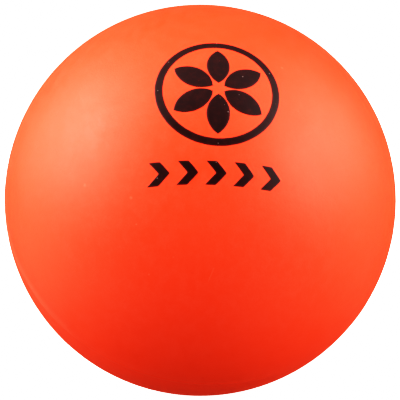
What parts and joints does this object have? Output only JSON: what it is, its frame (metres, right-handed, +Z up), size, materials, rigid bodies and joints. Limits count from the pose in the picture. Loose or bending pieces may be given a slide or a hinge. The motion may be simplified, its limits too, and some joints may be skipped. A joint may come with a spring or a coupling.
{
  "type": "lacrosse ball",
  "caption": "Smooth, dimple-free solid rubber ball with a raised parting line and a printed rosette and chevron mark, for lacrosse or trigger-point massage.",
  "frame": {"origin": "centre of the ball", "axes": "+Z up, -Y towards the viewer of the printed side, +X to that viewer's right; the mould's pole, which is the middle of the printed side, points 40.8 degrees above the horizontal and 11.5 degrees from -Y towards +X"},
  "size_m": [0.063, 0.063, 0.063],
  "materials": {
    "orange_rubber": "smooth matte, with a soft sheen",
    "black_ink": "pad-printed ink film, slightly rough edges"
  },
  "bodies": {
    "root": {"rubber_ball": "orange_rubber", "print_ring": "black_ink", "print_petal_1": "black_ink", "print_petal_2": "black_ink", "print_petal_3": "black_ink", "print_petal_4": "black_ink", "print_petal_5": "black_ink", "print_petal_6": "black_ink", "print_chevron_1": "black_ink", "print_chevron_2": "black_ink", "print_chevron_3": "black_ink", "print_chevron_4": "black_ink", "print_chevron_5": "black_ink"}
  },
  "joints": []
}
